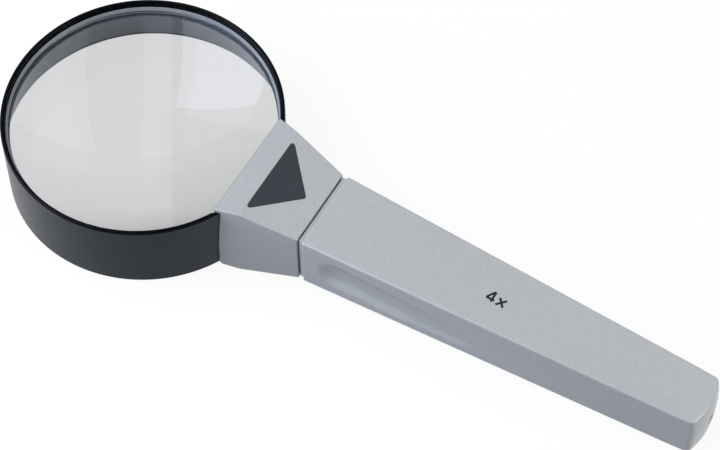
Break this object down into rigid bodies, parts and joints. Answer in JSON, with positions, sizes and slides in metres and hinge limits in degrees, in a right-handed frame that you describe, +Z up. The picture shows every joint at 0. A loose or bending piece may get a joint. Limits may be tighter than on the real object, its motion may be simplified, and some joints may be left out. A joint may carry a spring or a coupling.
{
  "type": "hand lens",
  "caption": "Hand-held magnifier: a round plano-convex lens set in a black barrel, a wedge-shaped silver neck and a tapering flat-sided handle with scooped grips.",
  "frame": {"origin": "middle of the part's length and width, on the plane that the barrel stands on", "axes": "+X from the lens towards the handle's tail, +Z up along the lens axis, out of the face that is seen"},
  "size_m": [0.2077, 0.076, 0.0235],
  "materials": {
    "barrel_black": "satin black moulding with a glossier rim bead",
    "retainer_grey": "semi-gloss blue-grey",
    "cushion_rubber": "matt black",
    "lens_glass": "polished clear glass",
    "spacer_black": "matt black",
    "silver_lacquer": "fine metallic silver lacquer, satin",
    "badge_charcoal": "satin charcoal film",
    "screw_steel": "zinc plated",
    "plug_black": "matt black moulding"
  },
  "bodies": {
    "root": {"lens_barrel": "barrel_black", "lens_retainer": "retainer_grey", "upper_cushion": "cushion_rubber", "upper_lens": "lens_glass", "lens_spacer": "spacer_black", "lower_lens": "lens_glass", "lower_cushion": "cushion_rubber", "neck_shell": "silver_lacquer", "neck_badge": "badge_charcoal", "neck_screws": "screw_steel", "joining_plug": "plug_black", "handle_shell": "silver_lacquer"}
  },
  "joints": []
}
